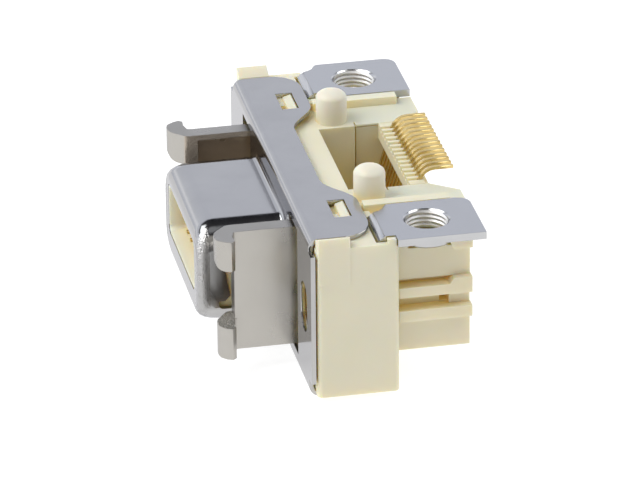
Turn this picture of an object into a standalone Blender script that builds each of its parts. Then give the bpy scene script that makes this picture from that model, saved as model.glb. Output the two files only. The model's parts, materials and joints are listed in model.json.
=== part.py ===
"""Fourteen way half pitch ribbon connector, right angle, surface mount, board side up.

X runs from the mating side (negative) to the solder side, Y along the row of contacts,
Z up to the board face. Sizes are in millimetres. Below, X = 0 is the front face of the
shell flange, Y = 0 the middle of the row and Z = 0 the plane that the connector stands
on. The objects are then moved along X, so that the origin is the middle of the footprint.
"""

import math

import bmesh
import bpy

MM = 0.001
CLEAR = 0.05
OVERLAP = 0.2
REACH = 30.0
ARC_STEPS = 5

# Height of the board face, where the shell plate and the brackets meet the board
BOARD_Z = 11.10

# Contacts: the tails stand in one row and go in turn to the upper and the lower row
WAYS = 14
PITCH = 0.635
ROW_W = WAYS * PITCH
CONTACT_W = 0.28
CONTACT_T = 0.20
SLOT_CLEAR = 0.03
FOOT_RISE = 0.23
FOOT_END_X = 11.30
TAIL_BEND_R = 1.05
LEG_TOP_X = 9.29
LEG_SLOPE = 0.30
LEG_BEND_R = 0.40
UPPER_RUN_Z = 5.45
CONTACT_SINK = 0.05
CONTACT_TIP_X = -4.90
CONTACT_BOW = 0.30
BOW_FRONT = 1.30
BOW_BACK = 2.00

# Sheet metal shell
SHEET = 0.30
FLANGE_HALF_W = 13.54
PLATE_HALF_W = 12.70
SHOULDER_TOP = 0.85
SHOULDER_LOW = 1.30
TOP_BEND_R = 0.60
LOW_BEND_R = 0.80
TAB_DEPTH = 2.70
TAB_CORNER_R = 1.20
PLATE_MID_DEPTH = 2.50
PLATE_LOBE_DEPTH = 4.27
PLATE_MID_HALF_W = 4.10
PLATE_LOBE_Y = 7.60
PLATE_CORNER_R = 2.00
WINDOW_X = 2.87
WINDOW_Y = 8.53
WINDOW_DEPTH = 1.13
WINDOW_W = 2.57
SCREW_Y = 11.22
SCREW_Z = 5.75
SCREW_SLOT_W = 2.10
SCREW_SLOT_H = 3.40

# Nose of the shell and the mouth in it
NOSE_Z = 5.65
NOSE_H = 7.00
NOSE_LEN = 5.90
NOSE_R = 2.00
NOSE_ROLL_LEN = 1.45
NOSE_ROLL_IN = 1.05
NOSE_SIDE_R = 0.35
NOSE_FOOT_R = 0.35
MOUTH_Z = 6.05
MOUTH_W = ROW_W + 0.61
MOUTH_H = 3.60
MOUTH_R = 0.60
LIP_W = 1.35
NOSE_W = MOUTH_W + 2.0 * LIP_W
DETENT_FRONT_X = -4.55
DETENT_TONGUE_X = -4.12
DETENT_BACK_X = -1.50
DETENT_LOW_Z = 3.46
DETENT_SLOT_H = 0.55
DETENT_H = 3.00
DETENT_TONGUE_H = 1.80
DETENT_CURVE = 0.35
DENT_FRONT_X = -5.55
DENT_BACK_X = -3.60
DENT_TOP_Z = 7.60
DENT_CORNER_Z = 5.54
DENT_DEPTH = 0.20

# Latches
LATCH_GAP = 0.87
LATCH_DEPTH = 1.13
LATCH_Y = NOSE_W / 2.0 + LATCH_GAP + LATCH_DEPTH
LATCH_SHEET = 0.38
LATCH_Z = 5.74
LATCH_H = 8.32
LATCH_FRONT_X = -3.90
LATCH_BACK_X = 2.40
LATCH_POST = 0.45
HOOK_TOP_LEN = 1.35
HOOK_LOW_LEN = 1.20
HOOK_REACH = 1.50
HOOK_TOP_H = 2.08
HOOK_LOW_H = 2.20
HOOK_CORNER_R = 0.50
LATCH_GAP_Z = 0.27
LATCH_GAP_IN = 0.37
LATCH_GAP_OUT = 1.10
LATCH_POCKET_GAP = 0.50

# Front housing
FACE_GAP = 0.10
EAR_HALF_W = 13.70
EAR_DEPTH = 5.70
EAR_CORNER_R = 0.35
EAR_BOTTOM = 0.35
MID_HALF_W = 8.60
MID_DEPTH = 6.70
MID_TOP_DROP = 0.55
MID_BOTTOM = 0.60
PAD_DEPTH = 2.05
PAD_PROUD = 0.06
PAD_RISE = 0.42
PAD_FOOT_Z = 8.29
BUMP_DEPTH = 0.62
BUMP_W = 2.30
BUMP_DROP = 0.06
STAND_TAPER = 0.35
BORE_R = 1.30
WELL_X = 4.25
WELL_SIDE = 0.335
WELL_HALF_W = ROW_W / 2.0 + WELL_SIDE
POST_X = 5.37
POST_WALL = 0.24
POST_R = 1.03
POST_Y = WELL_HALF_W + POST_WALL + POST_R
POST_TOP = 1.65
POST_DOME = 0.50
RIB_IN_Y = 7.70
RIB_OUT_Y = 8.50
RIB_FRONT_X = 4.50
RIB_BACK_X = 10.15
DECK_T = 0.15
DECK_NOTCH_W = 0.45

# Contact carrier inside the nose
CARRIER_STEP_X = 1.00
CARRIER_BACK_X = 6.60
CARRIER_BACK_W = NOSE_W - 1.0
CARRIER_BACK_Z = 3.50
CARRIER_BACK_H = 2.40
CAVITY_END_X = -0.50
CAVITY_IN = 0.30
LEAD_IN = 0.16
LEAD_LEN = 0.60

# Tail block behind the housing
SPLIT = 0.10
BLOCK_BOTTOM = 2.62
ARM_GAP = 0.505
ARM_IN_Y = ROW_W / 2.0 + ARM_GAP
ARM_BACK_X = 11.30
ARM_CHAMFER_X = 1.80
ARM_CHAMFER_Y = 1.35
WING_Y = 12.55
WING_BACK_X = 10.50
RECESS_Z = 9.95
LUG_X = 9.30
LUG_RAMP = 0.35
LUG_LOW_Z = 9.70
LUG_PROUD = 0.60
RAIL_PROUD = 0.50
RAIL_LONGER = 0.06
GROOVE_DEPTH = 0.50
GROOVE_TOP_Z = 7.60
GROOVE_TOP_H = 0.38
GROOVE_TOP_X = 9.40
GROOVE_TOP_RAMP = 0.30
RAIL_H = 0.70
GROOVE_LOW_H = 0.92
RAIL_LOW_H = 0.78
NOTCH_X = 8.88
NOTCH_LEN = 0.55
NOTCH_DEPTH = 1.20
GROOVE_END_DEPTH = 0.10
COMB_X = 8.30
COMB_SPINE = 0.26
COMB_TOOTH_H = 0.35
COMB_H = 1.10
BACK_WALL_X = 9.32
BACK_WALL_T = 0.28
BACK_WALL_DROP = 0.20
FLOOR_T = 0.60

# Threaded board brackets
BRACKET_T = 0.50
BRACKET_IN_Y = 8.60
BRACKET_W = 5.35
BRACKET_FRONT_X = 5.55
BRACKET_BACK_X = 11.25
BRACKET_CORNER_R = 0.80
NECK_X = 4.32
NECK_IN = 0.75
NECK_FAR = 1.00
NECK_CURVE = 0.70
NECK_GUARD_W = 0.40
NECK_GUARD_X = 4.95
NECK_BEND_R = 0.95
LEG_LOW_Z = 7.30
HOLE_X = 7.98
HOLE_R = 1.34
HOLE_EDGE_R = 1.52
HOLE_EDGE_H = 0.20
BOSS_R = 1.90
BOSS_H = 0.75
BOSS_EDGE = 0.12

# Material colours: linear red, green, blue, then roughness and metallic
NICKEL = ((0.44, 0.45, 0.48), 0.28, 1.0)
LATCH_METAL = ((0.46, 0.44, 0.41), 0.32, 1.0)
BRACKET_METAL = ((0.47, 0.50, 0.54), 0.34, 1.0)
IVORY = ((0.66, 0.62, 0.49), 0.50, 0.0)
IVORY_PALE = ((0.70, 0.67, 0.56), 0.50, 0.0)
GOLD = ((0.75, 0.49, 0.16), 0.26, 1.0)

# Heights and places that follow from the sizes above
MIDDLE_X = (max(ARM_BACK_X, FOOT_END_X, BRACKET_BACK_X) - NOSE_LEN) / 2.0
PLATE_LOW_Z = BOARD_Z - SHEET
EAR_TOP = PLATE_LOW_Z - CLEAR
MID_TOP = BOARD_Z - MID_TOP_DROP
FACE_X = SHEET + FACE_GAP
FOOT_Z = BOARD_Z + FOOT_RISE - CONTACT_T / 2.0
UPPER_Z = MOUTH_Z + MOUTH_H / 2.0 - CAVITY_IN - CONTACT_SINK
LOWER_Z = MOUTH_Z - MOUTH_H / 2.0 + CAVITY_IN + CONTACT_SINK
BRACKET_LOW_Z = BOARD_Z - BRACKET_T
BRACKET_OUT_Y = BRACKET_IN_Y + BRACKET_W
BLOCK_X = MID_DEPTH + SPLIT
WING_X = EAR_DEPTH + SPLIT
LATCH_LOW = LATCH_Z - LATCH_H / 2.0
LATCH_TOP = LATCH_Z + LATCH_H / 2.0
LATCH_IN = LATCH_Y - LATCH_DEPTH
CARRIER_BACK_TOP = CARRIER_BACK_Z + CARRIER_BACK_H


def clear_scene():
    for obj in list(bpy.data.objects):
        bpy.data.objects.remove(obj, do_unlink=True)


def material(name, look):
    colour, roughness, metallic = look
    made = bpy.data.materials.new(name)
    made.use_nodes = True
    shader = made.node_tree.nodes["Principled BSDF"]
    shader.inputs["Base Color"].default_value = (*colour, 1.0)
    shader.inputs["Roughness"].default_value = roughness
    shader.inputs["Metallic"].default_value = metallic
    made.diffuse_color = (*colour, 1.0)
    return made


def add_rings(mesh, rings, loop=False):
    """Skin one closed body over the rings. Caps close its ends unless the last meets the first."""
    rows = [[mesh.verts.new([value * MM for value in point]) for point in ring] for ring in rings]
    size = len(rows[0])
    pairs = list(zip(rows, rows[1:]))
    if loop:
        pairs.append((rows[-1], rows[0]))
    for first, second in pairs:
        for i in range(size):
            j = (i + 1) % size
            mesh.faces.new((first[i], first[j], second[j], second[i]))
    if not loop:
        mesh.faces.new(list(reversed(rows[0])))
        mesh.faces.new(rows[-1])


def rings_object(name, bodies, look=None, loop=False):
    """One object from a list of bodies, each of them a list of rings of points."""
    mesh = bmesh.new()
    for rings in bodies:
        add_rings(mesh, rings, loop)
    bmesh.ops.recalc_face_normals(mesh, faces=mesh.faces)
    data = bpy.data.meshes.new(name)
    mesh.to_mesh(data)
    mesh.free()
    obj = bpy.data.objects.new(name, data)
    obj.location.x = -MIDDLE_X * MM
    bpy.context.scene.collection.objects.link(obj)
    if look:
        data.materials.append(material(name + "_surface", look))
    return obj


def drawn_rings(outline, axis, low, high):
    """The outline, in the two other axes in order, at both ends of its run along the axis."""
    place = "XYZ".index(axis)
    rings = []
    for value in (low, high):
        rings.append([(*point[:place], value, *point[place:]) for point in outline])
    return rings


def prism(name, outline, axis, low, high, look=None):
    return rings_object(name, [drawn_rings(outline, axis, low, high)], look)


def block_rings(x, y, z):
    outline = [(x[0], y[0]), (x[1], y[0]), (x[1], y[1]), (x[0], y[1])]
    return drawn_rings(outline, "Z", z[0], z[1])


def block(name, x, y, z, look=None):
    return rings_object(name, [block_rings(x, y, z)], look)


def arc(u, v, radius, start, end, steps=ARC_STEPS):
    points = []
    for i in range(steps + 1):
        angle = math.radians(start + (end - start) * i / steps)
        points.append((u + radius * math.cos(angle), v + radius * math.sin(angle)))
    return points


def round_rect(u, v, radius):
    """Rounded rectangle between the two values of u and the two of v."""
    points = arc(u[1] - radius, v[1] - radius, radius, 0.0, 90.0)
    points += arc(u[0] + radius, v[1] - radius, radius, 90.0, 180.0)
    points += arc(u[0] + radius, v[0] + radius, radius, 180.0, 270.0)
    points += arc(u[1] - radius, v[0] + radius, radius, 270.0, 360.0)
    return points


def barrel_rings(x, y, profile, steps=28):
    """Round body about a vertical axis from (radius, height) points."""
    rings = []
    for radius, height in profile:
        angles = [2.0 * math.pi * i / steps for i in range(steps)]
        rings.append([(x + radius * math.cos(a), y + radius * math.sin(a), height) for a in angles])
    return rings


def combine(target, tool, operation):
    change = target.modifiers.new(tool.name, "BOOLEAN")
    change.operation = operation
    change.solver = "EXACT"
    change.object = tool
    tool.hide_render = True
    tool.display_type = "WIRE"


def cut(target, tool):
    combine(target, tool, "DIFFERENCE")


def join(target, tool):
    combine(target, tool, "UNION")


def span(side, low, high):
    """A stretch along the row on one side of the middle, in rising order."""
    return (low, high) if side > 0 else (-high, -low)


def about(middle, size):
    return (middle - size / 2.0, middle + size / 2.0)


def bent(corners):
    """A path through corners of (X, Z, bend radius), each turned with its radius."""
    points = [corners[0][:2]]
    for before, here, after in zip(corners, corners[1:], corners[2:]):
        long_in = math.dist(before[:2], here[:2])
        long_out = math.dist(here[:2], after[:2])
        way_in = [(here[i] - before[i]) / long_in for i in (0, 1)]
        way_out = [(after[i] - here[i]) / long_out for i in (0, 1)]
        turn = math.acos(max(-1.0, min(1.0, way_in[0] * way_out[0] + way_in[1] * way_out[1])))
        trim = min(here[2] * math.tan(turn / 2.0), long_in * 0.45, long_out * 0.45)
        radius = trim / math.tan(turn / 2.0)
        left = 1.0 if way_in[0] * way_out[1] - way_in[1] * way_out[0] > 0.0 else -1.0
        start = [here[i] - way_in[i] * trim for i in (0, 1)]
        centre = (start[0] - left * way_in[1] * radius, start[1] + left * way_in[0] * radius)
        first = math.atan2(start[1] - centre[1], start[0] - centre[0])
        steps = max(2, round(turn / math.radians(18.0)))
        for i in range(steps + 1):
            angle = first + left * turn * i / steps
            points.append((centre[0] + radius * math.cos(angle), centre[1] + radius * math.sin(angle)))
    points.append(corners[-1][:2])
    return points


def strip_rings(path, thickness, y):
    """A strip of sheet that follows a path in X and Z, between the two values of y."""
    rings = []
    for i, point in enumerate(path):
        before = path[max(i - 1, 0)]
        after = path[min(i + 1, len(path) - 1)]
        length = math.dist(before, after)
        side_x = -(after[1] - before[1]) / length * thickness / 2.0
        side_z = (after[0] - before[0]) / length * thickness / 2.0
        corners = ((1, y[0]), (1, y[1]), (-1, y[1]), (-1, y[0]))
        rings.append([(point[0] + s * side_x, v, point[1] + s * side_z) for s, v in corners])
    return rings


def nose_ring(x, inset, side_inset=None):
    """Cross section of the nose, moved inwards by the inset, or by another one at its sides."""
    if side_inset is None:
        side_inset = inset
    half_w = NOSE_W / 2.0 - side_inset
    half_h = NOSE_H / 2.0 - inset
    radius = max(NOSE_R - (inset + side_inset) / 2.0, CLEAR)
    outline = round_rect((-half_w, half_w), (NOSE_Z - half_h, NOSE_Z + half_h), radius)
    return [(x, y, z) for y, z in outline]


def mouth_ring(x, grow=0.0):
    half_w = MOUTH_W / 2.0 + grow
    half_h = MOUTH_H / 2.0 + grow
    outline = round_rect((-half_w, half_w), (MOUTH_Z - half_h, MOUTH_Z + half_h), MOUTH_R + grow)
    return [(x, y, z) for y, z in outline]


def lobe_edge():
    """Back edge of the folded plate from the middle outwards: strip, step and round corner."""
    steps = ARC_STEPS * 2
    step = (PLATE_LOBE_DEPTH - PLATE_MID_DEPTH) / 2.0
    edge = []
    for i in range(steps + 1):
        part = i / steps
        y = PLATE_MID_HALF_W + (PLATE_LOBE_Y - PLATE_MID_HALF_W) * part
        edge.append((PLATE_MID_DEPTH + step * (1.0 - math.cos(math.pi * part)), y))
    centre = (PLATE_LOBE_DEPTH - PLATE_CORNER_R, PLATE_HALF_W - PLATE_CORNER_R)
    return edge + arc(*centre, PLATE_CORNER_R, 0.0, 90.0)


def build_shell():
    """Flange with the plate folded over the top and the tab folded under the bottom."""
    high = TOP_BEND_R
    low = LOW_BEND_R
    section = [(REACH, BOARD_Z)] + arc(high, BOARD_Z - high, high, 90.0, 180.0)
    section += arc(low, low, low, 180.0, 270.0) + [(TAB_DEPTH, 0.0), (TAB_DEPTH, SHEET)]
    section += arc(low, low, low - SHEET, 270.0, 180.0)
    section += arc(high, BOARD_Z - high, high - SHEET, 180.0, 90.0) + [(REACH, PLATE_LOW_Z)]
    shell = prism("front_shell", section, "Y", -FLANGE_HALF_W, FLANGE_HALF_W, NICKEL)

    edge = lobe_edge()
    side_back = [(-REACH, PLATE_HALF_W), (-REACH, REACH), (2.0 * REACH, REACH)]
    far_side = edge + side_back
    around = [(x, -y) for x, y in reversed(far_side)] + far_side
    plate_z = (BOARD_Z - SHOULDER_TOP, BOARD_Z + OVERLAP)
    cut(shell, prism("plate_outline_cut", around, "Z", *plate_z))

    corner = TAB_DEPTH - TAB_CORNER_R
    tab_side = arc(corner, PLATE_HALF_W - TAB_CORNER_R, TAB_CORNER_R, 0.0, 90.0)
    tab_side += [(-REACH, PLATE_HALF_W), (-REACH, REACH), (REACH, REACH), (REACH, 0.0), (TAB_DEPTH, 0.0)]
    for side in (-1, 1):
        outline = [(x, side * y) for x, y in tab_side]
        cut(shell, prism("tab_outline_cut_%d" % side, outline, "Z", -OVERLAP, SHOULDER_LOW))

    openings = []
    for side in (-1, 1):
        y = about(side * WINDOW_Y, WINDOW_W)
        openings.append(block_rings(about(WINDOW_X, WINDOW_DEPTH), y, about(BOARD_Z, 4.0 * SHEET)))
        gap_y = span(side, LATCH_IN - LATCH_GAP_IN, LATCH_Y + LATCH_GAP_OUT)
        gap_z = (LATCH_LOW - LATCH_GAP_Z, LATCH_TOP + LATCH_GAP_Z)
        openings.append(block_rings(about(SHEET / 2.0, 2.0 * SHEET), gap_y, gap_z))
    cut(shell, rings_object("window_cut", openings))
    slots = []
    for side in (-1, 1):
        y = about(side * SCREW_Y, SCREW_SLOT_W)
        outline = round_rect(y, about(SCREW_Z, SCREW_SLOT_H), SCREW_SLOT_W / 2.0 - 0.01)
        slots.append(drawn_rings(outline, "X", -SHEET, 2.0 * SHEET))
    cut(shell, rings_object("screw_slot_cut", slots))
    return shell


def add_nose(shell):
    """Drawn tube with a flared foot in the flange and a front edge turned inwards."""
    opening = [(y, z) for x, y, z in nose_ring(0.0, SHEET / 2.0)]
    cut(shell, prism("nose_opening_cut", opening, "X", -SHEET, 2.0 * SHEET))
    foot = NOSE_FOOT_R
    rings = [nose_ring(SHEET / 2.0, -foot)]
    for x, inset in arc(-foot, -foot, foot, 0.0, 90.0):
        rings.append(nose_ring(x, inset))
    front = -NOSE_LEN
    rings += roll_rings(front, 0.0)
    rings.append(mouth_ring(front))
    rings.append(mouth_ring(front + SHEET))
    rings += reversed(roll_rings(front, SHEET))
    rings.append(nose_ring(SHEET / 2.0, SHEET))
    join(shell, rings_object("nose_tube", [rings], loop=True))
    slots = []
    for side in (-1, 1):
        y = span(side, NOSE_W / 2.0 - 2.0 * SHEET, NOSE_W / 2.0 + SHEET)
        slots.append(drawn_rings(detent_outline(), "Y", *y))
    cut(shell, rings_object("detent_cut", slots))
    cut(shell, rings_object("dent_cut", [dent_rings(side) for side in (-1, 1)]))


def detent_outline():
    """Slot with a window above it, which leaves a curved tongue, in X and Z."""
    curve = DETENT_CURVE
    slot_top = DETENT_LOW_Z + DETENT_SLOT_H
    top = DETENT_LOW_Z + DETENT_H
    outline = [(DETENT_BACK_X, DETENT_LOW_Z), (DETENT_BACK_X, top), (DETENT_TONGUE_X, top)]
    outline += [(DETENT_TONGUE_X + curve / 2.0, DETENT_LOW_Z + DETENT_TONGUE_H)]
    outline += [(DETENT_TONGUE_X + curve, slot_top + curve), (DETENT_TONGUE_X, slot_top)]
    outline += [(DETENT_FRONT_X, slot_top)]
    return outline + arc(DETENT_FRONT_X + curve, DETENT_LOW_Z + curve, curve, 180.0, 270.0)


def roll_rings(front, inset):
    """Rings of the turned in front edge from back to front, moved in by a sheet's inset."""
    length = NOSE_ROLL_LEN - inset
    rings = []
    for cosine, sine in arc(0.0, 0.0, 1.0, 0.0, 90.0):
        x = front + NOSE_ROLL_LEN - length * sine
        along = min(1.0, max(0.0, front + NOSE_SIDE_R - x) / (NOSE_SIDE_R - inset))
        side_inset = NOSE_SIDE_R - (NOSE_SIDE_R - inset) * math.sqrt(1.0 - along ** 2)
        rings.append(nose_ring(x, NOSE_ROLL_IN - (NOSE_ROLL_IN - inset) * cosine, side_inset))
    return rings


def dent_rings(side):
    """Wedge that sinks the side of the nose towards the window of the detent."""
    slot_top = DETENT_LOW_Z + DETENT_SLOT_H
    outline = [(DENT_FRONT_X, DENT_TOP_Z), (DENT_FRONT_X, DENT_CORNER_Z), (DETENT_FRONT_X, slot_top)]
    outline += [(DENT_BACK_X, slot_top), (DENT_BACK_X, DENT_TOP_Z)]
    slope = DENT_DEPTH / (DENT_BACK_X - DENT_FRONT_X)
    half_w = NOSE_W / 2.0
    sunk = [(x, side * (half_w - slope * (x - DENT_FRONT_X)), z) for x, z in outline]
    return [[(x, side * (half_w + OVERLAP), z) for x, z in outline], sunk]

def build_latch(name, side):
    """Stamped channel, open towards the nose, with two hooks that turn outwards."""
    front = LATCH_FRONT_X
    y = span(side, LATCH_IN, LATCH_Y)
    latch = block(name, (front, LATCH_BACK_X), y, (LATCH_LOW, LATCH_TOP), LATCH_METAL)
    hollow_y = span(side, LATCH_IN - OVERLAP, LATCH_Y - LATCH_SHEET)
    hollow_z = (LATCH_LOW + LATCH_SHEET, LATCH_TOP - LATCH_SHEET)
    hollow_x = (front + LATCH_POST, LATCH_BACK_X + 1.0)
    cut(latch, block(name + "_hollow_cut", hollow_x, hollow_y, hollow_z))
    top_z = (LATCH_TOP - HOOK_TOP_H, LATCH_TOP)
    low_z = (LATCH_LOW, LATCH_LOW + HOOK_LOW_H)
    hooks = [
        drawn_rings(hook_outline(side, HOOK_TOP_LEN), "Z", *top_z),
        drawn_rings(hook_outline(side, HOOK_LOW_LEN), "Z", *low_z),
    ]
    join(latch, rings_object(name + "_hooks", hooks))
    tip = front - HOOK_TOP_LEN
    corner = HOOK_CORNER_R
    outline = [(tip - OVERLAP, top_z[0] + corner)]
    outline += arc(tip + corner, top_z[0] + corner, corner, 180.0, 270.0)
    outline += [(tip + corner, top_z[0] - OVERLAP), (tip - OVERLAP, top_z[0] - OVERLAP)]
    reach_y = span(side, LATCH_IN - OVERLAP, LATCH_Y + HOOK_REACH + OVERLAP)
    cut(latch, prism(name + "_corner_cut", outline, "Y", *reach_y))
    return latch


def hook_outline(side, length):
    """A hook seen from above: forward from the latch, then out and back to a point."""
    front = LATCH_FRONT_X
    tip = front - length
    lug = LATCH_Y + HOOK_REACH
    hook = [
        (front + OVERLAP, LATCH_IN),
        (front + OVERLAP, LATCH_Y),
        (front - 0.05, LATCH_Y + 0.05),
        (front - 0.20, lug - 0.80),
        (front - 0.15, lug - 0.20),
        (front - 0.40, lug),
        (front - 0.77, lug - 0.14),
        (tip + 0.10, lug - 0.50),
        (tip, lug - 0.85),
        (tip, lug - 1.30),
        (tip + 0.10, LATCH_IN + 1.00),
        (tip + 0.30, LATCH_IN + 0.73),
        (front - 0.40, LATCH_IN + 0.08),
        (front - 0.10, LATCH_IN),
    ]
    return [(x, side * v) for x, v in hook]


def neck_span(side, grow=0.0):
    """Stretch of the bracket neck. The same stamping stands on both sides, not mirrored."""
    low = bracket_span(side)[0]
    return (low + NECK_IN - grow, low + BRACKET_W - NECK_FAR + grow)


def bracket_span(side):
    return span(side, BRACKET_IN_Y, BRACKET_OUT_Y)


def build_housing():
    ears = round_rect((FACE_X, EAR_DEPTH), (-EAR_HALF_W, EAR_HALF_W), EAR_CORNER_R)
    housing = prism("housing", ears, "Z", EAR_BOTTOM, EAR_TOP, IVORY)
    middle_y = (-MID_HALF_W, MID_HALF_W)
    trim = [
        block_rings((0.0, REACH), middle_y, (MID_TOP, REACH)),
        block_rings((0.0, REACH), middle_y, (-1.0, MID_BOTTOM)),
    ]
    cut(housing, rings_object("middle_trim_cut", trim))
    back_z = (MID_BOTTOM, MID_TOP)
    join(housing, block("middle_back", (EAR_DEPTH - 1.0, MID_DEPTH), middle_y, back_z))
    for side in (-1, 1):
        join(housing, stand(side))
        join(housing, deck(side))
    fit_shell(housing)
    fit_carrier(housing)
    for side in (-1, 1):
        fit_side_parts(housing, side)
        join(housing, neck_guard(side))
        join(housing, window_bump(side))
        join(housing, ear_pad(side))
        join(housing, post_and_rib(side))
    return housing


def fit_shell(housing):
    """Room for the two folded edges of the shell."""
    low = LOW_BEND_R
    back = TAB_DEPTH + 2.0 * CLEAR
    under = [(-1.0, -1.0), (back, -1.0), (back, SHEET + CLEAR)]
    under += arc(low, low, low - SHEET - CLEAR, 270.0, 180.0) + [(-1.0, low)]
    edge = PLATE_HALF_W + 2.0 * CLEAR
    cut(housing, prism("tab_room_cut", under, "Y", -edge, edge))
    fold = TOP_BEND_R
    over = [(0.0, EAR_TOP + 1.0), (0.0, EAR_TOP - fold), (FACE_X, EAR_TOP - fold + SHEET)]
    over += [(FACE_X + fold - SHEET, EAR_TOP), (FACE_X + fold, EAR_TOP + 1.0)]
    cut(housing, prism("fold_room_cut", over, "Y", -REACH, REACH))


def fit_carrier(housing):
    """Stepped opening for the contact carrier, with the well above its back half."""
    room = [(y, z) for x, y, z in nose_ring(0.0, SHEET)]
    cut(housing, prism("carrier_front_cut", room, "X", 0.0, CARRIER_STEP_X + CLEAR))
    half_w = CARRIER_BACK_W / 2.0 + CLEAR
    z = (CARRIER_BACK_Z - CLEAR, CARRIER_BACK_TOP + CLEAR)
    cut(housing, block("carrier_back_cut", (CARRIER_STEP_X - OVERLAP, REACH), (-half_w, half_w), z))
    well_z = (CARRIER_BACK_TOP - OVERLAP, REACH)
    cut(housing, block("well_cut", (WELL_X, REACH), (-WELL_HALF_W, WELL_HALF_W), well_z))


def fit_side_parts(housing, side):
    """Pocket of the latch, screw bore and the seat of the bracket."""
    gap = LATCH_POCKET_GAP
    y = span(side, LATCH_IN - CLEAR, LATCH_Y + gap)
    z = (LATCH_LOW - CLEAR, LATCH_TOP + CLEAR)
    cut(housing, block("latch_pocket_cut_%d" % side, (0.0, LATCH_BACK_X + CLEAR), y, z))
    bore = arc(side * SCREW_Y, SCREW_Z, BORE_R, 0.0, 345.0, 23)
    cut(housing, prism("screw_bore_cut_%d" % side, bore, "X", -1.0, REACH))
    neck_y = neck_span(side, 2.0 * CLEAR)
    front = NECK_X - CLEAR
    leg_x = (front, NECK_X + BRACKET_T + CLEAR)
    cut(housing, block("leg_slot_cut_%d" % side, leg_x, neck_y, (LEG_LOW_Z - CLEAR, REACH)))
    bend_z = (BOARD_Z - NECK_BEND_R - CLEAR, REACH)
    cut(housing, block("bend_room_cut_%d" % side, (front, REACH), neck_y, bend_z))
    plate_y = bracket_span(side)
    seat_z = (BRACKET_LOW_Z - CLEAR, REACH)
    seat_y = (plate_y[0] - CLEAR, plate_y[1] + CLEAR)
    seat_x = (BRACKET_FRONT_X - CLEAR, REACH)
    cut(housing, block("bracket_seat_cut_%d" % side, seat_x, seat_y, seat_z))
    curve_y = (neck_y[0], plate_y[1] + CLEAR)
    curve_x = (BRACKET_FRONT_X - NECK_CURVE - CLEAR, REACH)
    cut(housing, block("neck_curve_cut_%d" % side, curve_x, curve_y, seat_z))


def stand(side):
    """Foot moulded under the ear behind the folded tab, level with the tab's underside."""
    front = TAB_DEPTH + 2.0 * CLEAR
    back = EAR_DEPTH - EAR_CORNER_R
    outline = [(front, 0.0), (back - STAND_TAPER, 0.0), (back, EAR_BOTTOM), (back, EAR_BOTTOM + OVERLAP)]
    outline += [(front, EAR_BOTTOM + OVERLAP)]
    return prism("stand_%d" % side, outline, "Y", *span(side, MID_HALF_W, PLATE_HALF_W))


def deck(side):
    """Thin plate that runs back from the housing over one arm of the tail block."""
    front = MID_DEPTH - OVERLAP
    plate = prism("deck_%d" % side, arm_outline(side, front, MID_HALF_W), "Z", MID_TOP - DECK_T, MID_TOP)
    notch_y = span(side, ARM_IN_Y - OVERLAP, ARM_IN_Y + DECK_NOTCH_W)
    cut(plate, block("deck_notch_cut_%d" % side, (MID_DEPTH, BLOCK_X), notch_y, (MID_TOP - 1.0, REACH)))
    return plate


def neck_guard(side):
    """Low wall on the ear along the outer edge of the bracket's neck."""
    edge = neck_span(side, 2.0 * CLEAR)[0]
    x = (NECK_GUARD_X, BRACKET_FRONT_X - CLEAR)
    z = (EAR_TOP - OVERLAP, BOARD_Z - CLEAR)
    return block("neck_guard_%d" % side, x, (edge - NECK_GUARD_W, edge), z)


def window_bump(side):
    """Snap wedge that holds the plate by its window."""
    back = WINDOW_X + WINDOW_DEPTH / 2.0 - CLEAR
    front = back - BUMP_DEPTH
    top = BOARD_Z - BUMP_DROP
    outline = [(front, MID_TOP - OVERLAP), (back, MID_TOP - OVERLAP), (back, top - CLEAR)]
    outline += [(back - 2.0 * CLEAR, top), (front + CLEAR, top - SHEET / 2.0), (front, top - SHEET)]
    return prism("window_bump_%d" % side, outline, "Y", *about(side * WINDOW_Y, BUMP_W))


def ear_pad(side):
    """Raised pad at the end of the ear that stands above the board face."""
    face = EAR_HALF_W + PAD_PROUD
    root = EAR_HALF_W - 1.0
    inner = PLATE_HALF_W + 2.0 * CLEAR
    top = BOARD_Z + PAD_RISE
    outline = [(root, PAD_FOOT_Z), (face, PAD_FOOT_Z), (face, top - CLEAR), (face - CLEAR, top)]
    outline += [(inner, BOARD_Z), (inner, EAR_TOP - SHEET), (root, EAR_TOP - SHEET)]
    outline = [(side * y, z) for y, z in outline]
    front = FACE_X + CLEAR
    return prism("ear_pad_%d" % side, outline, "X", front, front + PAD_DEPTH)


def post_and_rib(side):
    top = BOARD_Z + POST_TOP
    dome = [(1.0, 1.0), (0.93, 0.66), (0.75, 0.34), (0.48, 0.10), (0.20, 0.0)]
    profile = [(POST_R, MID_TOP - OVERLAP)]
    profile += [(POST_R * wide, top - POST_DOME * drop) for wide, drop in dome]
    post = barrel_rings(POST_X, side * POST_Y, profile)
    pair = rings_object("post_%d" % side, [post])
    rib_y = span(side, RIB_IN_Y, RIB_OUT_Y)
    rib = block_rings((RIB_FRONT_X, RIB_BACK_X), rib_y, (MID_TOP - DECK_T / 2.0, BOARD_Z))
    join(pair, rings_object("rib_%d" % side, [rib]))
    return pair


def contact_places():
    """Each contact as (name, Y, is it in the upper row), from the far end of the row."""
    found = []
    for i in range(WAYS):
        y = (WAYS - 1) * PITCH / 2.0 - i * PITCH
        upper = i % 2 == 0
        word = "upper" if upper else "lower"
        found.append(("contact_%s_%d" % (word, i // 2 + 1), y, upper))
    return found


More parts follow.
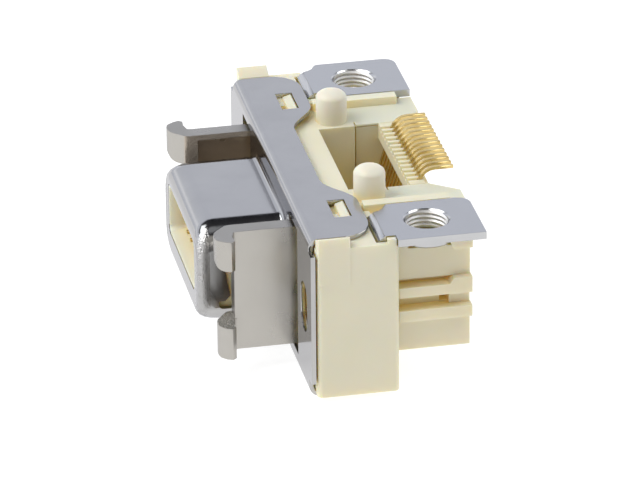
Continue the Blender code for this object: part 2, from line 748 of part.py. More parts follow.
def contact_path(upper, longer=0.0):
    """Centre line of a contact from its foot to its tip in the mouth."""
    run_z = UPPER_RUN_Z if upper else LOWER_Z
    row_z = UPPER_Z if upper else LOWER_Z
    leg_x = LEG_TOP_X - LEG_SLOPE * (FOOT_Z - run_z)
    corners = [(FOOT_END_X + longer, FOOT_Z, 0.0), (LEG_TOP_X, FOOT_Z, TAIL_BEND_R)]
    corners.append((leg_x, run_z, LEG_BEND_R))
    if upper:
        step_x = (CAVITY_END_X + CARRIER_STEP_X) / 2.0
        corners += [(step_x + CONTACT_T, run_z, LEG_BEND_R), (step_x, row_z, LEG_BEND_R)]
    bow_z = row_z - CONTACT_BOW if upper else row_z + CONTACT_BOW
    bow_x = CONTACT_TIP_X + BOW_FRONT
    corners += [(bow_x + BOW_BACK, row_z, TAIL_BEND_R), (bow_x, bow_z, LEG_BEND_R)]
    corners.append((CONTACT_TIP_X - longer, row_z, 0.0))
    return bent(corners)


def contact_rings(y, upper, grow=0.0):
    width = CONTACT_W + 2.0 * grow
    return strip_rings(contact_path(upper, grow), CONTACT_T + 2.0 * grow, about(y, width))


def slot_tool(name):
    """All the contact slots as one tool, cut with the contacts' own shape."""
    bodies = [contact_rings(y, upper, SLOT_CLEAR) for word, y, upper in contact_places()]
    return rings_object(name, bodies)


def build_carrier():
    gap = SHEET + CLEAR
    front = -NOSE_LEN + gap
    outline = [
        nose_ring(front, NOSE_ROLL_IN + CLEAR, NOSE_SIDE_R + CLEAR),
        nose_ring(-NOSE_LEN + NOSE_ROLL_LEN, gap),
        nose_ring(CARRIER_STEP_X, gap),
    ]
    carrier = rings_object("contact_carrier", [outline], IVORY)
    half_w = CARRIER_BACK_W / 2.0
    back_x = (CARRIER_STEP_X - OVERLAP, CARRIER_BACK_X)
    back_z = (CARRIER_BACK_Z, CARRIER_BACK_TOP)
    join(carrier, block("carrier_back", back_x, (-half_w, half_w), back_z))
    nib_x = -NOSE_LEN + CLEAR
    nib = [mouth_ring(nib_x, -CLEAR), mouth_ring(front + OVERLAP, -CLEAR)]
    join(carrier, rings_object("carrier_nib", [nib]))
    cavity = [mouth_ring(nib_x - OVERLAP, -LEAD_IN), mouth_ring(nib_x, -LEAD_IN)]
    cavity += [mouth_ring(nib_x + LEAD_LEN, -CAVITY_IN), mouth_ring(CAVITY_END_X, -CAVITY_IN)]
    cut(carrier, rings_object("cavity_cut", [cavity]))
    cut(carrier, slot_tool("carrier_slot_cut"))
    return carrier


def build_tail_block():
    """Tray with two arms, two wings under the brackets and the comb that spaces the tails."""
    inside = ARM_IN_Y + OVERLAP
    comb_z = (MID_TOP - COMB_H, MID_TOP)
    tail_block = block("tail_block", (COMB_X, BACK_WALL_X), (-inside, inside), comb_z, IVORY_PALE)
    back = BACK_WALL_X + BACK_WALL_T
    wall_z = (BLOCK_BOTTOM, MID_TOP - BACK_WALL_DROP)
    join(tail_block, block("back_wall", (BACK_WALL_X - CLEAR, back), (-inside, inside), wall_z))
    floor_z = (BLOCK_BOTTOM, BLOCK_BOTTOM + FLOOR_T)
    join(tail_block, block("block_floor", (BLOCK_X, back - CLEAR), (-inside, inside), floor_z))
    for side in (-1, 1):
        add_arm(tail_block, side)
        add_rails(tail_block, side)
    slots = []
    grooves = []
    for word, y, upper in contact_places():
        slot_y = about(y, CONTACT_W + 2.0 * SLOT_CLEAR)
        slot_x = (COMB_X + COMB_SPINE, BACK_WALL_X - CLEAR / 2.0)
        slots.append(block_rings(slot_x, slot_y, (comb_z[0] - OVERLAP, comb_z[1] + OVERLAP)))
        groove_x = (COMB_X - OVERLAP, COMB_X + COMB_SPINE + OVERLAP)
        grooves.append(block_rings(groove_x, slot_y, (comb_z[1] - COMB_TOOTH_H, comb_z[1] + OVERLAP)))
    cut(tail_block, rings_object("comb_slot_cut", slots))
    cut(tail_block, rings_object("comb_groove_cut", grooves))
    return tail_block


def arm_outline(side, front, outer):
    """An arm seen from above, with the slant at the back of its inner side."""
    arm = [(front, ARM_IN_Y), (front, outer), (ARM_BACK_X, outer)]
    arm += [(ARM_BACK_X, ARM_IN_Y + ARM_CHAMFER_Y), (ARM_BACK_X - ARM_CHAMFER_X, ARM_IN_Y)]
    return [(x, side * y) for x, y in arm]


def add_arm(tail_block, side):
    outline = arm_outline(side, BLOCK_X, MID_HALF_W + OVERLAP)
    under_deck = MID_TOP - DECK_T - CLEAR
    join(tail_block, prism("arm_%d" % side, outline, "Z", BLOCK_BOTTOM, under_deck))
    deck_y = span(side, ARM_IN_Y - CLEAR, MID_HALF_W + CLEAR)
    cut(tail_block, block("deck_room_cut_%d" % side, (0.0, REACH), deck_y, (under_deck, REACH)))
    wing_y = span(side, MID_HALF_W + SPLIT, WING_Y)
    wing_z = (BLOCK_BOTTOM, RECESS_Z)
    join(tail_block, block("wing_%d" % side, (WING_X, WING_BACK_X), wing_y, wing_z))
    lug_y = span(side, MID_HALF_W + SPLIT, WING_Y + LUG_PROUD)
    lug_back = WING_BACK_X + CLEAR
    lug = [(LUG_X - LUG_RAMP, BRACKET_LOW_Z - CLEAR), (LUG_X, LUG_LOW_Z)]
    lug += [(lug_back, LUG_LOW_Z), (lug_back, BRACKET_LOW_Z - CLEAR)]
    join(tail_block, prism("lug_%d" % side, lug, "Y", *lug_y))
    room_low = BRACKET_LOW_Z - BOSS_H - 2.0 * CLEAR
    room = [(BOSS_R + 2.0 * CLEAR, room_low), (BOSS_R + 2.0 * CLEAR, REACH)]
    tool = [barrel_rings(HOLE_X, side * SCREW_Y, room)]
    cut(tail_block, rings_object("boss_room_cut_%d" % side, tool))


def add_rails(tail_block, side):
    """Two guide rails along the wing, each with a groove above it."""
    groove_low = GROOVE_TOP_Z - GROOVE_TOP_H
    rail_low = groove_low - RAIL_H
    second_low = rail_low - GROOVE_LOW_H
    rail_x = (WING_X, WING_BACK_X + RAIL_LONGER)
    rail_y = span(side, WING_Y - OVERLAP, WING_Y + RAIL_PROUD)
    rails = [
        block_rings(rail_x, rail_y, (rail_low, GROOVE_TOP_Z)),
        block_rings(rail_x, rail_y, (second_low - RAIL_LOW_H, second_low)),
    ]
    join(tail_block, rings_object("rails_%d" % side, rails))
    deep_y = span(side, WING_Y - GROOVE_DEPTH, REACH)
    slanted = [(0.0, groove_low), (GROOVE_TOP_X - GROOVE_TOP_RAMP, groove_low)]
    slanted += [(GROOVE_TOP_X, GROOVE_TOP_Z), (0.0, GROOVE_TOP_Z)]
    notch_x = about(NOTCH_X, NOTCH_LEN)
    notch_y = span(side, WING_Y - NOTCH_DEPTH, REACH)
    end_y = span(side, WING_Y - GROOVE_END_DEPTH, REACH)
    cut(tail_block, prism("groove_cut_%d" % side, slanted, "Y", *deep_y))
    level = (second_low, rail_low)
    cut(tail_block, block("groove_low_cut_%d" % side, (0.0, notch_x[1]), deep_y, level))
    cut(tail_block, block("groove_end_cut_%d" % side, (NOTCH_X, REACH), end_y, level))
    level = (second_low + CLEAR, rail_low - CLEAR)
    cut(tail_block, block("notch_cut_%d" % side, notch_x, notch_y, level))


def build_bracket(name, side):
    """Flat plate with a threaded boss and a neck that bends down into the housing."""
    low, high = bracket_span(side)
    neck = neck_span(side)
    radius = BRACKET_CORNER_R
    back = BRACKET_BACK_X
    front = BRACKET_FRONT_X
    plate = [(back, low), (back, high - radius)]
    plate += arc(back - radius, high - radius, radius, 0.0, 90.0)[1:]
    curve = front - NECK_CURVE
    for along, down in ((1.60, 0.0), (1.35, 0.10), (1.10, 0.38), (0.95, 0.62), (0.55, 0.84)):
        plate.append((curve + along * NECK_CURVE, high - down * NECK_FAR))
    plate += [(curve, neck[1]), (curve, neck[0]), (front, neck[0]), (front, low)]
    bracket = prism(name, plate, "Z", BRACKET_LOW_Z, BOARD_Z, BRACKET_METAL)
    middle_z = BOARD_Z - BRACKET_T / 2.0
    leg_x = NECK_X + BRACKET_T / 2.0
    bend = NECK_BEND_R - BRACKET_T / 2.0
    path = bent([(front + OVERLAP, middle_z, 0.0), (leg_x, middle_z, bend), (leg_x, LEG_LOW_Z, 0.0)])
    join(bracket, rings_object(name + "_leg", [strip_rings(path, BRACKET_T, neck)]))
    low_z = BRACKET_LOW_Z - BOSS_H
    profile = [(BOSS_R - BOSS_EDGE, low_z), (BOSS_R, low_z + BOSS_EDGE), (BOSS_R, BRACKET_LOW_Z + OVERLAP)]
    hole_y = side * SCREW_Y
    join(bracket, rings_object(name + "_boss", [barrel_rings(HOLE_X, hole_y, profile)]))
    profile = [(HOLE_R, low_z - 1.0), (HOLE_R, BOARD_Z - HOLE_EDGE_H)]
    profile += [(HOLE_EDGE_R, BOARD_Z), (HOLE_EDGE_R, BOARD_Z + 1.0)]
    cut(bracket, rings_object(name + "_hole_cut", [barrel_rings(HOLE_X, hole_y, profile)]))
    return bracket


def main():
    clear_scene()
    add_nose(build_shell())
    build_housing()
    build_carrier()
    build_tail_block()
    for name, y, upper in contact_places():
        rings_object(name, [contact_rings(y, upper)], GOLD)
    for word, side in (("near", -1), ("far", 1)):
        build_latch("latch_" + word, side)
        build_bracket("bracket_" + word, side)


main()
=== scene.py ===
import json
import math

import bmesh
import bpy
from mathutils import Matrix, Vector


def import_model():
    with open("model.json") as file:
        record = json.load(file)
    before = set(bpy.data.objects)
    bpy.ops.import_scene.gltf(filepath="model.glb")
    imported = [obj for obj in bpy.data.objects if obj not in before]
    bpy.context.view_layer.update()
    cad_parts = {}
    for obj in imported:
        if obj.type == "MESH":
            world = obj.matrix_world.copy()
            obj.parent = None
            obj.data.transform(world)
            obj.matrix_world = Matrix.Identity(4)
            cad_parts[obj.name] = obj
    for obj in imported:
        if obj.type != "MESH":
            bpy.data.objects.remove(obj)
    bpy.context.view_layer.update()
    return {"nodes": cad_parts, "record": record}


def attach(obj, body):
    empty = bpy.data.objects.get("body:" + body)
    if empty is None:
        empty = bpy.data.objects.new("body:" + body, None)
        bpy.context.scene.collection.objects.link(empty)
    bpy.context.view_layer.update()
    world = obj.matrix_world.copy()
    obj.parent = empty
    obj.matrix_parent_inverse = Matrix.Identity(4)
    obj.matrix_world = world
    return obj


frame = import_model()
nodes = frame["nodes"]
MM = 0.001

# places on the solids that the materials and the threads keep to, in the frame of the part
NOSE_FRONT_X = -8.60 * MM
NOSE_BACK_X = -3.10 * MM
NOSE_HALF_W = 6.10 * MM
NOSE_LOW_Z = 2.15 * MM
LATCH_IN = 6.97 * MM
LATCH_FRONT_X = -6.60 * MM
LOW_HOOK_TOP = 3.78 * MM
BOARD_Z = 11.10 * MM
HOLE_X = 5.28 * MM
HOLE_Y = 11.22 * MM
HOLE_R = 1.34 * MM
HOLE_DEPTH = 1.25 * MM


# materials

class Graph:
    """Short helper to build a node material."""

    def __init__(self, name):
        self.mat = bpy.data.materials.new(name)
        self.mat.use_nodes = True
        self.tree = self.mat.node_tree
        self.shader = self.tree.nodes["Principled BSDF"]
        self.coords = self.tree.nodes.new("ShaderNodeTexCoord").outputs["Object"]

    def set(self, **values):
        for key, value in values.items():
            self.shader.inputs[key.replace("_", " ")].default_value = value

    def link(self, output, socket):
        self.tree.links.new(output, socket)

    def noise(self, scale, detail=3.0, stretch=(1, 1, 1), roughness=0.5):
        node = self.tree.nodes.new("ShaderNodeTexNoise")
        node.inputs["Scale"].default_value = scale
        node.inputs["Detail"].default_value = detail
        node.inputs["Roughness"].default_value = roughness
        self.link(self.stretched(stretch), node.inputs["Vector"])
        return node.outputs["Fac"]

    def stretched(self, stretch):
        if stretch == (1, 1, 1):
            return self.coords
        node = self.tree.nodes.new("ShaderNodeMapping")
        node.inputs["Scale"].default_value = stretch
        self.link(self.coords, node.inputs["Vector"])
        return node.outputs["Vector"]

    def ramp(self, value, stops):
        node = self.tree.nodes.new("ShaderNodeValToRGB")
        items = node.color_ramp.elements
        while len(items) < len(stops):
            items.new(0.5)
        for item, (at, colour) in zip(items, stops):
            item.position = at
            item.color = (*colour, 1.0) if len(colour) == 3 else colour
        self.link(value, node.inputs["Fac"])
        return node.outputs["Color"]

    def spread(self, value, low, high, from_low=0.0, from_high=1.0):
        node = self.tree.nodes.new("ShaderNodeMapRange")
        node.inputs["From Min"].default_value = from_low
        node.inputs["From Max"].default_value = from_high
        node.inputs["To Min"].default_value = low
        node.inputs["To Max"].default_value = high
        self.link(value, node.inputs["Value"])
        return node.outputs["Result"]

    def math(self, kind, a, b=None):
        node = self.tree.nodes.new("ShaderNodeMath")
        node.operation = kind
        for socket, value in zip(node.inputs, (a, b)):
            if value is None:
                continue
            if isinstance(value, (int, float)):
                socket.default_value = value
            else:
                self.link(value, socket)
        return node.outputs["Value"]

    def mix(self, factor, a, b, kind="MIX"):
        node = self.tree.nodes.new("ShaderNodeMix")
        node.data_type = "RGBA"
        node.blend_type = kind
        for socket, value in ((node.inputs[0], factor), (node.inputs[6], a), (node.inputs[7], b)):
            if isinstance(value, (int, float)):
                socket.default_value = value
            elif isinstance(value, tuple):
                socket.default_value = (*value, 1.0)
            else:
                self.link(value, socket)
        return node.outputs[2]

    def part(self, source, axis):
        node = self.tree.nodes.new("ShaderNodeSeparateXYZ")
        self.link(source, node.inputs[0])
        return node.outputs["XYZ".index(axis)]

    def step_down(self, value, limit):
        """One below the limit and nothing above it."""
        return self.math("LESS_THAN", value, limit)

    def normal(self, axis):
        geometry = self.tree.nodes.new("ShaderNodeNewGeometry")
        return self.part(geometry.outputs["True Normal"], axis)

    def open_air(self, reach):
        """One where the surface lies open and zero deep in a corner or slot."""
        node = self.tree.nodes.new("ShaderNodeAmbientOcclusion")
        node.samples = 8
        node.inputs["Distance"].default_value = reach
        return node.outputs["AO"]

    def bump(self, height, strength, distance, before=None):
        node = self.tree.nodes.new("ShaderNodeBump")
        node.inputs["Strength"].default_value = strength
        node.inputs["Distance"].default_value = distance
        self.link(height, node.inputs["Height"])
        if before:
            self.link(before, node.inputs["Normal"])
        return node.outputs["Normal"]


def plated(name, tone, rough, grain=0.10, sheared=None, dull_and_shaded=None, bronze_edges_and_shade=None):
    """Bright plating with soft clouds and fine grain.

    It is broken where sheared; greyer and rougher where dull and shaded, the greying being painted shade; and
    brown, with less metal, at cut edges where the bronze shows and in the latch pits, where the brown is
    painted shade. Each of the three is a function that gives the mask, or nothing.
    """
    g = Graph(name)
    cloud = g.noise(420.0, 3.0)
    fine = g.noise(5200.0, 4.0)
    low = tuple(c * 0.95 for c in tone)
    high = tuple(c * 1.04 for c in tone)
    colour = g.ramp(cloud, [(0.30, low), (0.70, high)])
    roughness = g.spread(cloud, rough * 0.8, rough * 1.25, 0.3, 0.7)
    normal = g.bump(fine, grain, 0.000012, g.bump(cloud, 0.10, 0.00006))
    if sheared:
        mask = sheared(g)
        torn = g.noise(8500.0, 2.0, roughness=0.6)
        colour = g.mix(mask, colour, tuple(c * 1.1 for c in tone))
        roughness = g.math("ADD", roughness, g.math("MULTIPLY", mask, 0.14))
        normal = g.bump(g.math("MULTIPLY", torn, mask), 1.0, 0.00010, normal)
    if dull_and_shaded:
        mask = dull_and_shaded(g)
        # Painted shade: the colour is darkened to about half, standing in for the dark reflection of the latch;
        # the added roughness is real.
        colour = g.mix(mask, colour, tuple(c * 0.52 for c in tone))
        roughness = g.math("ADD", roughness, g.math("MULTIPLY", mask, 0.10))
    g.set(Metallic=1.0)
    if bronze_edges_and_shade:
        mask = bronze_edges_and_shade(g)
        # Brown with less metal: painted shade in the latch pits, and the bronze showing at cut edges.
        colour = g.mix(mask, colour, (0.50, 0.39, 0.28))
        g.link(g.spread(mask, 1.0, 0.35), g.shader.inputs["Metallic"])
    g.link(colour, g.shader.inputs["Base Color"])
    g.link(roughness, g.shader.inputs["Roughness"])
    g.link(normal, g.shader.inputs["Normal"])
    g.shader.inputs["Specular Tint"].default_value = (0.80, 0.80, 0.82, 1.0)
    return g.mat


def latch_cuts(g):
    """Cut edges of the latches: the flange edges that face the nose and the top of the lower hooks."""
    beside_nose = g.step_down(g.math("ABSOLUTE", g.part(g.coords, "Y")), LATCH_IN + 0.06 * MM)
    low = g.step_down(g.part(g.coords, "Z"), LOW_HOOK_TOP + 0.1 * MM)
    front = g.step_down(g.part(g.coords, "X"), LATCH_FRONT_X)
    upward = g.spread(g.normal("Z"), 0.0, 1.0, 0.7, 0.9)
    hook = g.math("MULTIPLY", g.math("MULTIPLY", low, front), upward)
    return g.math("MAXIMUM", g.math("MULTIPLY", beside_nose, 0.4), hook)


def latch_inside_shade_and_cut_edges(g):
    """Inner faces of the latches behind the hooks, painted brown as painted shade for the warm light bounced in
    the pits, and half as much the flange edges before them, where the bronze of the cut edge shows.
    """
    across = g.part(g.coords, "Y")
    inward = g.step_down(g.math("MULTIPLY", across, g.normal("Y")), -0.5 * LATCH_IN)
    beyond = g.spread(g.math("ABSOLUTE", across), 0.5, 1.0, LATCH_IN + 0.05 * MM, LATCH_IN + 0.07 * MM)
    behind = g.spread(g.part(g.coords, "X"), 0.0, 1.0, LATCH_FRONT_X - 0.50 * MM, LATCH_FRONT_X - 0.25 * MM)
    return g.math("MULTIPLY", inward, g.math("MULTIPLY", beyond, behind))


def nose_peel(g):
    """Grain left by drawing on the upright front corners of the nose."""
    away = g.math("ABSOLUTE", g.part(g.coords, "Y"))
    side = g.spread(away, 0.0, 1.0, NOSE_HALF_W - 1.1 * MM, NOSE_HALF_W - 0.4 * MM)
    front = g.spread(g.part(g.coords, "X"), 1.0, 0.0, NOSE_FRONT_X + 0.45 * MM, NOSE_FRONT_X + 0.8 * MM)
    return g.math("MULTIPLY", side, front)


def nose_sides_dulled_and_shaded(g):
    """Drawn sides of the nose, behind their grainy corners and above the lower rounding, where the plating is
    rougher and its colour is darkened as painted shade, standing in for the dark reflection of the latch.
    """
    away = g.math("ABSOLUTE", g.part(g.coords, "Y"))
    side = g.spread(away, 0.0, 1.0, NOSE_HALF_W - 0.5 * MM, NOSE_HALF_W - 0.1 * MM)
    behind = g.spread(g.part(g.coords, "X"), 0.0, 1.0, NOSE_FRONT_X + 0.3 * MM, NOSE_FRONT_X + 0.6 * MM)
    before = g.step_down(g.part(g.coords, "X"), NOSE_BACK_X)
    above = g.spread(g.part(g.coords, "Z"), 0.0, 1.0, NOSE_LOW_Z + 1.2 * MM, NOSE_LOW_Z + 2.1 * MM)
    return g.math("MULTIPLY", g.math("MULTIPLY", side, behind), g.math("MULTIPLY", before, above))


def ivory(name, tone, deep=0.56, rough=0.42):
    """Moulded ivory plastic, paler on what stands above the board, with painted shade: a warmer colour painted
    into corners and slots.
    """
    g = Graph(name)
    cloud = g.noise(160.0, 2.0)
    fine = g.noise(9000.0, 3.0)
    flow = g.noise(300.0, 4.0, (1, 0.25, 1))
    low = (tone[0] * 0.97, tone[1] * 0.96, tone[2] * 0.93)
    high = (tone[0] * 1.02, tone[1] * 1.02, tone[2] * 1.03)
    colour = g.ramp(cloud, [(0.30, low), (0.70, high)])
    colour = g.mix(g.spread(flow, 0.0, 0.25, 0.4, 0.75), colour, (tone[0] * 1.02, tone[1], tone[2] * 0.92))
    raised = g.spread(g.part(g.coords, "Z"), 0.0, 1.0, BOARD_Z, BOARD_Z + 0.8 * MM)
    colour = g.mix(raised, colour, (0.75, 0.725, 0.61))
    openness_for_painted_shade = g.spread(g.open_air(5.0 * MM), 0.0, 1.0, 0.08, deep)
    # Painted shade: a warm colour painted into corners and slots, standing in for light bounced inside the
    # plastic.
    colour = g.mix(openness_for_painted_shade, (0.96, 0.78, 0.33), colour)
    g.link(colour, g.shader.inputs["Base Color"])
    g.link(g.spread(fine, rough * 0.9, rough * 1.15, 0.3, 0.7), g.shader.inputs["Roughness"])
    g.link(g.bump(fine, 0.25, 0.00001, g.bump(cloud, 0.05, 0.00005)), g.shader.inputs["Normal"])
    g.set(Subsurface_Weight=0.50, Subsurface_Scale=0.0009)
    g.shader.inputs["Subsurface Radius"].default_value = (1.0, 0.70, 0.35)
    return g.mat


def gold(name):
    """Gold plating with a fine grain drawn out along X."""
    g = Graph(name)
    cloud = g.noise(900.0, 3.0)
    fine = g.noise(7000.0, 3.0, (0.25, 1, 1))
    colour = g.ramp(cloud, [(0.3, (0.56, 0.40, 0.14)), (0.7, (0.72, 0.55, 0.24))])
    g.link(colour, g.shader.inputs["Base Color"])
    g.link(g.spread(fine, 0.12, 0.26, 0.3, 0.7), g.shader.inputs["Roughness"])
    g.link(g.bump(fine, 0.12, 0.00001), g.shader.inputs["Normal"])
    g.set(Metallic=1.0)
    return g.mat


def hole_wall(g):
    """Wall of the threaded hole of either bracket."""
    along = g.math("SUBTRACT", g.part(g.coords, "X"), HOLE_X)
    across = g.math("SUBTRACT", g.math("ABSOLUTE", g.part(g.coords, "Y")), HOLE_Y)
    squares = g.math("ADD", g.math("MULTIPLY", along, along), g.math("MULTIPLY", across, across))
    return g.step_down(g.math("SQRT", squares), HOLE_R + 0.03 * MM)


looks = {
    # The nose sides of the shell are darkened as painted shade.
    "shell": plated("shell_plating", (0.435, 0.43, 0.425), 0.14, 0.08, nose_peel, nose_sides_dulled_and_shaded),
    # The latch pits are painted brown as painted shade.
    "latches": plated("latch_plating", (0.445, 0.427, 0.395), 0.30, sheared=latch_cuts, bronze_edges_and_shade=latch_inside_shade_and_cut_edges),
    "brackets": plated("bracket_plating", (0.50, 0.50, 0.505), 0.20, 0.10, hole_wall),
    # Painted light: the threads take a much paler copy of the bracket plating, lifting the shade inside the
    # holes.
    "thread": plated("thread_plating_paler_for_light", (0.78, 0.775, 0.765), 0.62),
    "housing": ivory("housing_ivory", (0.735, 0.70, 0.545)),
    "carrier": ivory("carrier_ivory", (0.77, 0.725, 0.565), 0.45),
    "tail_block": ivory("tail_block_ivory", (0.735, 0.685, 0.51), 0.44),
    "contacts": gold("contact_gold"),
}
slots = {entry["node"]: entry["material_slot"] for entry in frame["record"]["subparts"]}
for name, obj in nodes.items():
    obj.data.materials.clear()
    obj.data.materials.append(looks[slots[name]])


# edges and shading of the solids

def smooth_group(angle):
    """Geometry nodes that shade faces smooth where they meet at less than the angle."""
    group = bpy.data.node_groups.new("smooth_by_angle", "GeometryNodeTree")
    group.interface.new_socket("Geometry", in_out="INPUT", socket_type="NodeSocketGeometry")
    group.interface.new_socket("Geometry", in_out="OUTPUT", socket_type="NodeSocketGeometry")
    enter = group.nodes.new("NodeGroupInput")
    leave = group.nodes.new("NodeGroupOutput")
    faces = group.nodes.new("GeometryNodeSetShadeSmooth")
    faces.domain = "FACE"
    edges = group.nodes.new("GeometryNodeSetShadeSmooth")
    edges.domain = "EDGE"
    between = group.nodes.new("GeometryNodeInputMeshEdgeAngle")
    small = group.nodes.new("FunctionNodeCompare")
    small.operation = "LESS_THAN"
    small.inputs["B"].default_value = math.radians(angle)
    group.links.new(enter.outputs[0], faces.inputs["Geometry"])
    group.links.new(faces.outputs["Geometry"], edges.inputs["Geometry"])
    group.links.new(between.outputs["Unsigned Angle"], small.inputs["A"])
    group.links.new(small.outputs["Result"], edges.inputs["Shade Smooth"])
    group.links.new(edges.outputs["Geometry"], leave.inputs[0])
    return group


smoothing = smooth_group(42.0)


def soften(obj, width, segments=2):
    """Joins the facets of flat faces, rounds the edges a little and shades every face evenly."""
    weld = obj.modifiers.new("weld", "WELD")
    weld.merge_threshold = 0.000001
    flat = obj.modifiers.new("flat", "DECIMATE")
    flat.decimate_type = "DISSOLVE"
    flat.angle_limit = math.radians(0.5)
    bevel = obj.modifiers.new("edge", "BEVEL")
    bevel.width = width
    bevel.segments = segments
    bevel.limit_method = "ANGLE"
    bevel.angle_limit = math.radians(30.0)
    bevel.harden_normals = False
    bevel.use_clamp_overlap = True
    shade = obj.modifiers.new("shade", "NODES")
    shade.node_group = smoothing
    even = obj.modifiers.new("even", "WEIGHTED_NORMAL")
    even.mode = "FACE_AREA"
    even.weight = 90
    even.keep_sharp = True


edge_widths = {"housing": 0.04, "tail_block": 0.04, "bracket_near": 0.018, "bracket_far": 0.018}
for name, obj in nodes.items():
    if name.startswith(("contact_upper_", "contact_lower_")):
        soften(obj, 0.02 * MM, 1)
    else:
        soften(obj, edge_widths.get(name, 0.03) * MM)


# threads of the bracket holes

def thread(name, y):
    """Helical ridge on the wall of a bracket hole, fading out at both ends."""
    pitch, depth, per_turn = 0.29 * MM, 0.10 * MM, 48
    low = BOARD_Z - HOLE_DEPTH + 0.12 * MM
    high = BOARD_Z - 0.13 * MM
    count = round((high - low) / pitch * per_turn)
    mesh = bmesh.new()
    rings = []
    for i in range(count + 1):
        angle = 2.0 * math.pi * i / per_turn
        height = low + (high - low) * i / count
        grown = min(1.0, i / (per_turn * 0.3), (count - i) / (per_turn * 0.3))
        ring = []
        for inward, rise in ((0.0, -0.42), (grown, 0.0), (0.0, 0.42)):
            radius = HOLE_R + 0.01 * MM - depth * inward
            place = (HOLE_X + radius * math.cos(angle), y + radius * math.sin(angle), height + rise * pitch)
            ring.append(mesh.verts.new(place))
        rings.append(ring)
    for first, second in zip(rings, rings[1:]):
        for i in range(3):
            mesh.faces.new((first[i], first[(i + 1) % 3], second[(i + 1) % 3], second[i]))
    mesh.faces.new(rings[0][::-1])
    mesh.faces.new(rings[-1])
    bmesh.ops.recalc_face_normals(mesh, faces=mesh.faces)
    data = bpy.data.meshes.new(name)
    mesh.to_mesh(data)
    mesh.free()
    data.materials.append(looks["thread"])
    obj = bpy.data.objects.new(name, data)
    bpy.context.scene.collection.objects.link(obj)
    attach(obj, "root")


thread("thread_near", -HOLE_Y)
thread("thread_far", HOLE_Y)


# floor, light and camera

def floor():
    mesh = bpy.data.meshes.new("floor")
    size = 3.0
    corners = [(-size, -size, 0), (size, -size, 0), (size, size, 0), (-size, size, 0)]
    mesh.from_pydata(corners, [], [(0, 1, 2, 3)])
    obj = bpy.data.objects.new("floor", mesh)
    bpy.context.scene.collection.objects.link(obj)
    obj.location.z = -0.00002
    g = Graph("floor_paper")
    paper = g.ramp(g.noise(40.0), [(0.3, (0.28, 0.28, 0.28)), (0.7, (0.31, 0.31, 0.31))])
    g.link(paper, g.shader.inputs["Base Color"])
    g.set(Roughness=0.9)
    g.shader.inputs["Emission Color"].default_value = (1, 1, 1, 1)
    g.shader.inputs["Emission Strength"].default_value = 0.86
    mesh.materials.append(g.mat)


def area(name, at, size, power, colour=(1, 1, 1), target=(0, 0, 0.006)):
    data = bpy.data.lights.new(name, "AREA")
    data.shape = "RECTANGLE"
    data.size, data.size_y = size
    data.energy = power
    data.color = colour
    obj = bpy.data.objects.new(name, data)
    obj.location = at
    obj.rotation_mode = "QUATERNION"
    obj.rotation_quaternion = (Vector(target) - Vector(at)).to_track_quat("-Z", "Y")
    bpy.context.scene.collection.objects.link(obj)


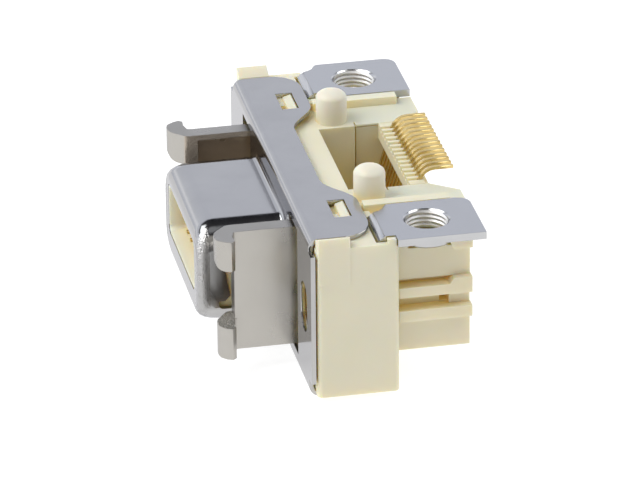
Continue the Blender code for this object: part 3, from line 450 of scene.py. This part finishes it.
def world():
    """Pale backdrop behind the part up to a level and a dark studio above it, grey straight overhead.

    On the near side it is grey, with a paler band high up.
    """
    made = bpy.data.worlds.new("studio")
    bpy.context.scene.world = made
    made.use_nodes = True
    tree = made.node_tree
    back = tree.nodes["Background"]
    coords = tree.nodes.new("ShaderNodeTexCoord")
    split = tree.nodes.new("ShaderNodeSeparateXYZ")
    tree.links.new(coords.outputs["Generated"], split.inputs[0])
    behind = [
        (0.0, (0.96, 1.00, 1.12)), (0.14, (1.0, 1.04, 1.12)), (0.22, (1.45, 1.47, 1.52)),
        (0.30, (1.0, 1.04, 1.12)), (0.52, (0.93, 0.97, 1.09)), (0.58, (0.015, 0.015, 0.02)),
        (0.96, (0.04, 0.04, 0.045)), (0.99, (0.36, 0.37, 0.39)),
    ]
    before = [
        (0.0, (0.28, 0.27, 0.26)), (0.58, (0.32, 0.32, 0.34)), (0.68, (0.54, 0.52, 0.48)),
        (0.88, (0.52, 0.50, 0.47)), (0.93, (0.03, 0.03, 0.035)),
        (0.96, (0.04, 0.04, 0.045)), (0.99, (0.36, 0.37, 0.39)),
    ]
    ramps = []
    for stops in (before, behind):
        ramp = tree.nodes.new("ShaderNodeValToRGB")
        items = ramp.color_ramp.elements
        while len(items) < len(stops):
            items.new(0.5)
        for item, (at, colour) in zip(items, stops):
            item.position = at
            item.color = (*colour, 1.0)
        tree.links.new(split.outputs[2], ramp.inputs["Fac"])
        ramps.append(ramp)
    side = tree.nodes.new("ShaderNodeMapRange")
    side.inputs["From Min"].default_value = -0.15
    side.inputs["From Max"].default_value = 0.15
    tree.links.new(split.outputs[1], side.inputs["Value"])
    mix = tree.nodes.new("ShaderNodeMix")
    mix.data_type = "RGBA"
    tree.links.new(side.outputs["Result"], mix.inputs[0])
    tree.links.new(ramps[0].outputs["Color"], mix.inputs[6])
    tree.links.new(ramps[1].outputs["Color"], mix.inputs[7])
    tree.links.new(mix.outputs[2], back.inputs["Color"])


def camera():
    az, el, roll = math.radians(11.319), math.radians(25.634), math.radians(-0.523)
    tx, ty, distance = 0.334 * MM, -1.812 * MM, 350 * MM
    middle = Vector((0.3, 0.0, 6.85)) * MM
    forward = Vector((math.sin(az) * math.cos(el), math.cos(az) * math.cos(el), -math.sin(el)))
    right = Vector((math.cos(az), -math.sin(az), 0.0))
    up = right.cross(forward)
    r = right * math.cos(roll) + up * math.sin(roll)
    u = up * math.cos(roll) - right * math.sin(roll)
    data = bpy.data.cameras.new("camera")
    data.sensor_width = 36.0
    data.lens = 5355.048 * 36.0 / 640.0
    data.clip_start, data.clip_end = 0.01, 20.0
    obj = bpy.data.objects.new("camera", data)
    axes = Matrix((r, u, -forward)).transposed()
    obj.matrix_world = Matrix.Translation(middle + r * tx + u * ty - forward * distance) @ axes.to_4x4()
    bpy.context.scene.collection.objects.link(obj)
    bpy.context.scene.camera = obj


floor()
world()
area("key", (-0.36, -0.04, 0.48), (0.46, 0.46), 2.7)
area("top_left", (-0.30, 0.25, 0.48), (0.30, 0.20), 0.5, (0.93, 0.97, 1.0))
area("top_right", (0.40, -0.08, 0.45), (0.30, 0.30), 1.1, (0.93, 0.97, 1.0))
camera()
bpy.context.scene.view_settings.view_transform = "Standard"
